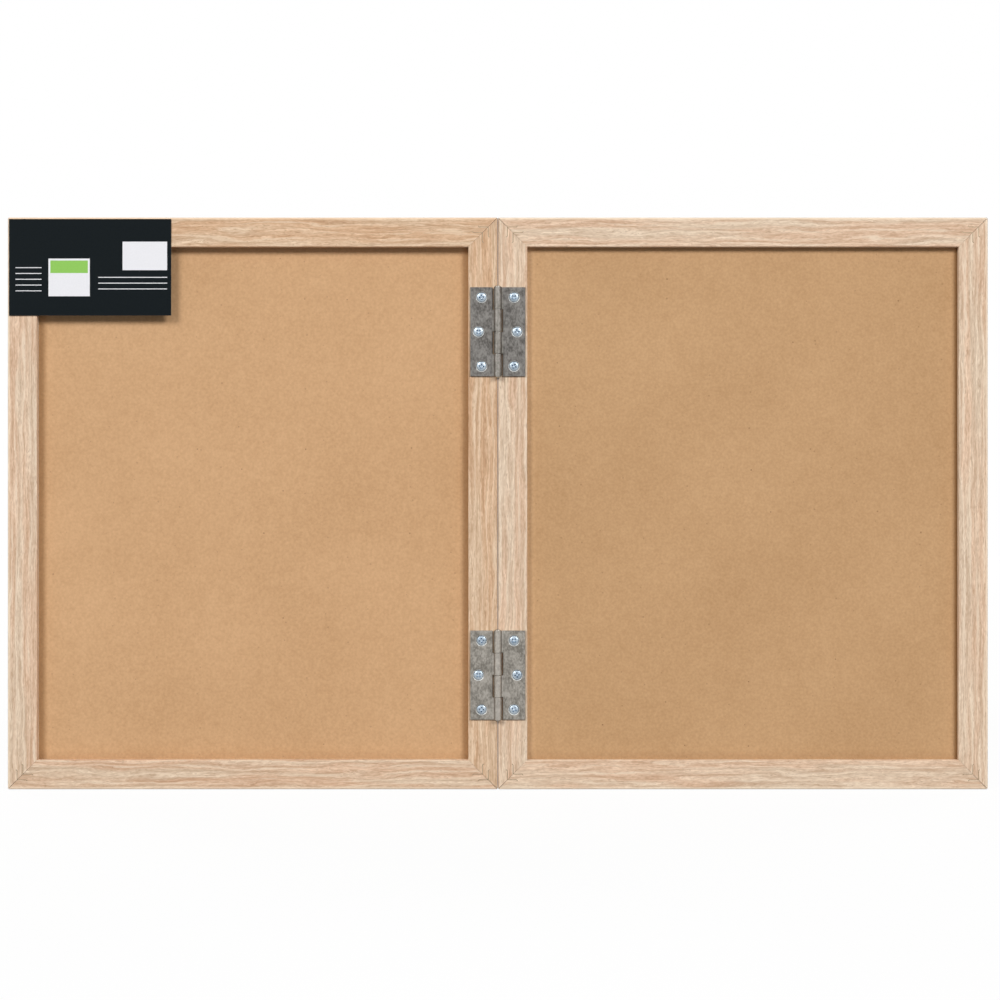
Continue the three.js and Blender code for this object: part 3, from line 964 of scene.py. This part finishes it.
for hinge in hinges:
    node_name = f"{hinge}_hinge_pin"
    stands_for(copy_of(pin, f"peened_{node_name}", Matrix.Translation(hinge_middle(hinge))),
               node_name)
bpy.data.objects.remove(pin)

# %% [markdown]
# ## Screws
#
# The screws are countersunk, with a cross recess and a slightly raised head, in bright zinc. The
# head is the part that shows: a dome that catches a small bright spot, a dark cross, and a rim
# that sits a little way down the leaf's countersink and leaves a ring of it bare. Below it a wood
# screw has a plain neck, a core and a coarse thread that ends before the point.
#
# The body is drawn out of a short cylinder, face by face. The recess is one tapered tool pressed
# in twice, a quarter turn apart. It comes before the thread, because a cut divides the slanted
# faces of a thread anew each time. The thread is a small triangle carried up a helix by the Screw
# modifier.

# %% The body of a screw, along its own z with the leaf's face at zero
RIM_TOP = -0.35 * MM
RIM = 0.2 * MM
SCREW_HEAD = 2.7 * MM
NECK_RADIUS = 1.6 * MM
CORE_RADIUS = 1.15 * MM
NECK_LENGTH = 1.4 * MM
NECK_TAPER = 0.3 * MM
SCREW_LENGTH = 12 * MM
POINT_LENGTH = 3.2 * MM
POINT_RADIUS = 0.15 * MM
CROWN = 0.4 * MM
CROWN_SHARES = (0.9, 0.75, 0.55, 0.3, 0.1)

bpy.ops.mesh.primitive_cylinder_add(vertices=48, radius=SCREW_HEAD, depth=RIM,
                                    location=(0, 0, RIM_TOP - RIM / 2))
screw = fresh("screw_pattern")
cone = SCREW_HEAD - NECK_RADIUS
level = RIM_TOP - RIM
outline = [
    (NECK_RADIUS, level - cone),
    (NECK_RADIUS, level - cone - NECK_LENGTH),
    (CORE_RADIUS, level - cone - NECK_LENGTH - NECK_TAPER),
    (CORE_RADIUS, POINT_LENGTH - SCREW_LENGTH),
    (POINT_RADIUS, -SCREW_LENGTH),
]
with editing():
    pick_faces(lambda middle, normal: normal.z < -FACING)
    radius = SCREW_HEAD
    for next_radius, next_level in outline:
        extrude((0, 0, next_level - level), (next_radius / radius, next_radius / radius, 1))
        radius, level = next_radius, next_level

    pick_faces(lambda middle, normal: normal.z > FACING)
    share = 1.0
    for next_share in CROWN_SHARES:
        rise = CROWN * (share**2 - next_share**2)
        extrude((0, 0, rise), (next_share / share, next_share / share, 1))
        share = next_share
closed(screw)

# %% The cross recess
RECESS_WIDTH = 0.8 * MM
RECESS_REACH = 1.65 * MM
RECESS_BOTTOM_REACH = 0.8 * MM
RECESS_DEPTH = 1.1 * MM
RECESS_NARROWING = 0.8
RECESS_MARGIN = 1.05

bpy.ops.mesh.primitive_cube_add(size=1, location=(0, 0, RIM_TOP + OVERRUN / 2),
                                scale=(2 * RECESS_REACH, RECESS_WIDTH, OVERRUN))
tool = fresh("recess_tool")
with editing():
    pick_faces(lambda middle, normal: normal.z < -FACING)
    extrude((0, 0, -RECESS_DEPTH), (RECESS_BOTTOM_REACH / RECESS_REACH, RECESS_NARROWING, 1))
for _ in range(2):
    cut(screw, tool)
    tool.data.transform(Matrix.Rotation(math.pi / 2, 4, "Z"))
bpy.data.objects.remove(tool)
closed(screw)

# %% The thread
THREAD_PITCH = 1.3 * MM
THREAD_TURNS = 4
THREAD_STEPS = 28
RIDGE_WIDTH = 0.8 * MM
RIDGE_REACH = 1.3 * (NECK_RADIUS - CORE_RADIUS)

bpy.ops.mesh.primitive_circle_add(
    vertices=3, radius=1, fill_type="NGON", rotation=(math.pi / 2, math.pi / 2, 0))
thread = fresh("thread_pattern")
ridge = thread.data
left_edge = min(v.co.x for v in ridge.vertices)
width = max(v.co.x for v in ridge.vertices) - left_edge
height = max(v.co.z for v in ridge.vertices) - min(v.co.z for v in ridge.vertices)
fit = Matrix.Diagonal((RIDGE_REACH / width, 1, RIDGE_WIDTH / height, 1))
ridge.transform(Matrix.Translation((NECK_RADIUS - RIDGE_REACH, 0, POINT_LENGTH - SCREW_LENGTH))
                @ fit @ Matrix.Translation((-left_edge, 0, 0)))
helix = thread.modifiers.new("helix", "SCREW")
helix.angle = 2 * math.pi
helix.screw_offset = THREAD_PITCH
helix.iterations = THREAD_TURNS
helix.steps = helix.render_steps = THREAD_STEPS
apply_all(thread)
closed(thread)

# %% [markdown]
# The thread's two ends are open triangles after the helix is made. They are filled, so that the
# thread is a closed ridge and can be joined to the core.

# %% Closing the thread and joining it to the core
alone(thread)
with editing():
    bpy.ops.mesh.select_all(action="DESELECT")
    bpy.ops.mesh.select_mode(type="EDGE")
    bpy.ops.mesh.select_non_manifold()
    bpy.ops.mesh.edge_face_add()
closed(thread)
cut(screw, thread, "UNION")
bpy.data.objects.remove(thread)
closed(screw)

# %% Edges and finishes of the screw
soften(screw, DRAWN_EDGE, segments=1, angle=40)
# Recess walls take zinc painted darker as painted shade, and the recess floor zinc painted lighter
# as a painted highlight
for finish in (bright_zinc, recess_wall_painted_shade, recess_floor_painted_highlight):
    screw.data.materials.append(finish)
for face in screw.data.polygons:
    sunk = (math.hypot(face.center.x, face.center.y) < RECESS_REACH
            and RIM_TOP - RECESS_MARGIN * RECESS_DEPTH < face.center.z < RIM_TOP)
    level_floor = face.normal.z > FACING
    face.material_index = 0 if not sunk else 2 if level_floor else 1
print("faces in the recess:", sum(face.material_index > 0 for face in screw.data.polygons))

# %% Twelve screws in place
SCREW_TURN = 0.65
facing_out = Matrix.Rotation(math.pi / 2, 4, "X")
leaf_face = axis_y + strip_face

for hinge in hinges:
    for side in ("left", "right"):
        for number in (1, 2, 3):
            node_name = f"{hinge}_hinge_{side}_screw_{number}"
            low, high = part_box(node_name)
            centre = Vector(((low.x + high.x) / 2, leaf_face, (low.z + high.z) / 2))
            turn = Matrix.Rotation(SCREW_TURN * (number + len(side)), 4, "Y")
            place = Matrix.Translation(centre) @ turn @ facing_out
            stands_for(copy_of(screw, f"threaded_{node_name}", place), node_name)
bpy.data.objects.remove(screw)
print("twelve screws in place")

# %% [markdown]
# ## Black card
#
# The card is thin coated board, printed black all over, with pale panels and fine ruled lines
# left for notes. Printed areas have no thickness, so they are not pieces of their own. The card's
# face is divided along the edges of each panel, and the faces inside take another ink. That keeps
# the edge of the ink sharp from any distance, which a painted mask would not.

# %% Inks and card
PAPER_TOOTH, PAPER_RELIEF = 0.9 * MM, 0.01 * MM


def printed_card(name, colour, rough):
    """Coated board under one flat ink, with the faint tooth of paper."""
    return plain_board(name, colour, PAPER_TOOTH, PAPER_RELIEF, steps=(-2, 2), detail=3.0,
                       strength=0.4, Roughness=rough, Specular_IOR_Level=0.05)


black_ink = printed_card("black_ink_on_coated_card", "13191C", rough=0.42)
white_ink = printed_card("white_ink_on_coated_card", "EEEEF2", rough=0.45)
green_ink = printed_card("green_ink_on_coated_card", "94CB62", rough=0.45)
card_core = printed_card("grey_card_core", "A9A59C", rough=0.9)

# %% The card with its panels
card_low, card_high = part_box("label_card")
card_middle = (card_low + card_high) / 2
card_size = card_high - card_low

# Panels as shares of the card's width and height, from its top left corner, seen from behind
RULE = 0.008
ruled_blocks = [(0.04, 0.20, (0.50, 0.56, 0.62, 0.68, 0.74)), (0.55, 0.975, (0.60, 0.66, 0.72))]
panel_shares = {
    "white": [(0.700, 0.235, 0.975, 0.530), (0.243, 0.410, 0.498, 0.800)]
    + [(left, top, right, top + RULE) for left, right, tops in ruled_blocks for top in tops],
    "green": [(0.255, 0.430, 0.486, 0.560)],
}

bpy.ops.mesh.primitive_cube_add(size=1, location=card_middle, scale=card_size)
card = fresh("corner_card")


def panel_edges(panel):
    """The left, right, lower and upper edge of a panel, in metres."""
    left, top, right, bottom = panel
    return (card_low.x + left * card_size.x, card_low.x + right * card_size.x,
            card_high.z - bottom * card_size.z, card_high.z - top * card_size.z)


with editing():
    for panel in panel_shares["white"] + panel_shares["green"]:
        left, right, low, high = panel_edges(panel)
        for point, way in (((left, 0, 0), (1, 0, 0)), ((right, 0, 0), (1, 0, 0)),
                           ((0, 0, low), (0, 0, 1)), ((0, 0, high), (0, 0, 1))):
            bpy.ops.mesh.select_all(action="SELECT")
            bpy.ops.mesh.bisect(plane_co=point, plane_no=way)

for ink in (black_ink, white_ink, green_ink, card_core):
    card.data.materials.append(ink)
for face in card.data.polygons:
    if abs(face.normal.y) < FACING:
        face.material_index = 3
    elif face.normal.y < 0:
        for index, ink in ((1, "white"), (2, "green")):
            for panel in panel_shares[ink]:
                left, right, low, high = panel_edges(panel)
                if left < face.center.x < right and low < face.center.z < high:
                    face.material_index = index
stands_for(card, "label_card")
closed(card)

# %% [markdown]
# ## Linen
#
# Linen for a pin board is a plain weave of uneven flax yarn, stretched flat over a soft board and
# held by the frame's lip. Modelled thread by thread it would need half a million faces, so the
# cloth is one thin sheet with the faint waves of hand stretching, and the weave is in its finish.
#
# In a plain weave the yarns pass over and under each other by turns, so the crowns lie like the
# squares of a chess board. The product of two sine waves has exactly that pattern. Where it is
# above nought an upright yarn lies on top, and elsewhere a level one, and each set has its own
# slubs, the thick and thin places of flax.
#
# A real yarn is about 0.6 mm wide. Here it is 0.9 mm, so that it still shows when the whole board
# fills the picture.

# %% Linen finish
YARN = 0.9 * MM
SLUB_LENGTH = 22 * MM
YARN_DEPTH = 0.22 * MM
YARN_TONES = ((0.32, "B8A78C"), (0.5, "CCBDA5"), (0.68, "DDD1BD"))
GAP_TONE, GAP_SHADE, GAP_EDGE = "8A7A5E", 0.24, 0.6


def linen_weave():
    """Natural linen in plain weave."""
    material, tree, shader, place = blank_finish("natural_linen_plain_weave", Roughness=0.9,
                                                 Sheen_Weight=0.15)
    axes = add(tree, "SeparateXYZ", wires={0: place}).outputs
    waves = []
    for axis in ("X", "Z"):
        turns = add(tree, "Math", {1: math.pi / YARN}, {0: axes[axis]}, operation="MULTIPLY")
        waves.append(add(tree, "Math", wires={0: turns}, operation="SINE"))
    weave = add(tree, "Math", wires={0: waves[0], 1: waves[1]}, operation="MULTIPLY")
    crown = add(tree, "Math", wires={0: weave}, operation="ABSOLUTE")
    upright_on_top = add(tree, "Math", {1: 0.0}, {0: weave}, operation="GREATER_THAN")
    upright = blotches(tree, place, [YARN, YARN, SLUB_LENGTH], shift=(5, 0, 0))
    level = blotches(tree, place, [SLUB_LENGTH, YARN, YARN], shift=(0, 0, 9))
    slubs = add(tree, "Mix", wires={0: upright_on_top, 2: level, 3: upright})
    yarn = add(tree, "ValToRGB", wires={0: slubs},
               stops=[(end, light_of(tone)) for end, tone in YARN_TONES])
    shade = add(tree, "MapRange", {1: 0.0, 2: GAP_EDGE, 3: GAP_SHADE, 4: 0.0}, {0: crown})
    colour = add(tree, "Mix", {7: light_of(GAP_TONE)}, {0: shade, 6: yarn}, data_type="RGBA")
    tree.links.new(colour.outputs[2], shader.inputs["Base Color"])
    height = add(tree, "Math", wires={0: crown, 1: slubs}, operation="ADD")
    raised(tree, shader, height, YARN_DEPTH, strength=0.7)
    return material


# %% The stretched cloth
CLOTH = 0.5 * MM
CLOTH_WAVE, CLOTH_WAVE_LENGTH = 0.12 * MM, 55 * MM
CLOTH_STEPS = (72, 86)

cloth_low, cloth_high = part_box("linen_cloth")
cloth_middle = (cloth_low + cloth_high) / 2
cloth_size = cloth_high - cloth_low

bpy.ops.mesh.primitive_grid_add(
    x_subdivisions=CLOTH_STEPS[0], y_subdivisions=CLOTH_STEPS[1], size=1,
    location=(cloth_middle.x, cloth_high.y - CLOTH_WAVE / 2, cloth_middle.z),
    rotation=(-math.pi / 2, 0, 0),
)
bpy.context.object.scale = (cloth_size.x, cloth_size.z, 1)
cloth = fresh("stretched_linen")

waves = bpy.data.textures.new("hand_stretched_waves", "CLOUDS")
waves.noise_scale = CLOTH_WAVE_LENGTH
ripple = cloth.modifiers.new("waves", "DISPLACE")
ripple.texture = waves
ripple.texture_coords = "LOCAL"
ripple.direction = "Y"
ripple.strength = CLOTH_WAVE
ripple.mid_level = 0.5
thick = cloth.modifiers.new("thickness", "SOLIDIFY")
thick.thickness = CLOTH
thick.offset = -1
apply_all(cloth)
bpy.ops.object.shade_smooth_by_angle(angle=math.radians(40))
cloth.data.materials.append(linen_weave())
stands_for(cloth, "linen_cloth")
closed(cloth)
print("cloth y", [round(v / MM, 2) for v in (min(p.co.y for p in cloth.data.vertices),
                                             max(p.co.y for p in cloth.data.vertices))])

# %% [markdown]
# ## Finishing
#
# The colours should look as they were written, so the view transform is the plain one.

# %% Finishing
bpy.context.scene.view_settings.view_transform = "Standard"
